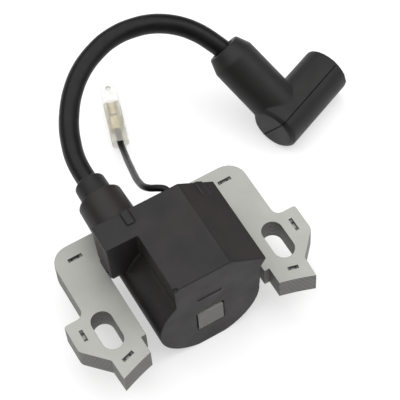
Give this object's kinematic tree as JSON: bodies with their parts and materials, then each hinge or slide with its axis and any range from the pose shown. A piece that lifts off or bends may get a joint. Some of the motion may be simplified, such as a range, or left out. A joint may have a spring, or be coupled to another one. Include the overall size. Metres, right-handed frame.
{
  "type": "ignition coil",
  "caption": "Flywheel-magneto ignition coil with a laminated E core, slotted mounting lugs, high-tension lead with a right-angle spark-plug boot, and a stop-switch wire with a blade terminal.",
  "frame": {"origin": "middle of the laminated core and coil case's footprint, on the surface that the coil's barrel stands on", "axes": "+X across the legs of the core, from the high-tension boss's side to the other side; +Y from the flywheel side to the crossbar side; +Z out of the laminations' top face"},
  "size_m": [0.1249, 0.1084, 0.0414],
  "materials": {
    "core_steel": "satin",
    "case_plastic": "satin",
    "potting": "glossy",
    "bobbin_plastic": "matte",
    "copper": "enamelled",
    "board": "satin",
    "chip_black": "matte",
    "component_ceramic": "matte",
    "terminal_brass": "bright",
    "tinned_metal": "bright",
    "lead_jacket": "glossy",
    "boot_rubber": "satin",
    "sleeve_clear": "translucent"
  },
  "bodies": {
    "coil": {"core_lamination_01": "core_steel", "core_lamination_02": "core_steel", "core_lamination_03": "core_steel", "core_lamination_04": "core_steel", "core_lamination_05": "core_steel", "core_lamination_06": "core_steel", "core_lamination_07": "core_steel", "core_lamination_08": "core_steel", "core_lamination_09": "core_steel", "core_lamination_10": "core_steel", "coil_case": "case_plastic", "potting_resin": "potting", "ht_lead_collar": "boot_rubber", "primary_bobbin": "bobbin_plastic", "secondary_bobbin": "bobbin_plastic", "primary_winding": "copper", "secondary_winding": "copper", "circuit_board": "board", "power_transistor": "chip_black", "control_chip": "chip_black", "timing_capacitor": "component_ceramic", "snubber_diode": "chip_black", "bias_resistor_front": "component_ceramic", "bias_resistor_back": "component_ceramic", "ht_lead_spike": "terminal_brass", "secondary_link_wire": "copper", "ground_strap": "tinned_metal", "ht_lead_jacket": "lead_jacket", "ht_lead_conductor": "copper", "kill_wire_grommet": "boot_rubber", "kill_wire_jacket": "lead_jacket", "kill_terminal": "tinned_metal", "kill_wire_strands": "copper"},
    "plug_cap": {"plug_boot": "boot_rubber", "plug_terminal_clip": "terminal_brass"},
    "terminal_sleeve": {"kill_terminal_sleeve": "sleeve_clear"}
  },
  "joints": [
    {"name": "boot_swivel", "type": "hinge", "parent": "coil", "child": "plug_cap", "pos_m": [0.0603, 0.0316, 0.0084], "axis": [0.3218, -0.7846, -0.5299], "range_deg": [0, 180]},
    {"name": "sleeve_slide", "type": "slide", "parent": "coil", "child": "terminal_sleeve", "axis": [0.3024, 0.9532, 0], "range_m": [0, 0.0095]}
  ]
}
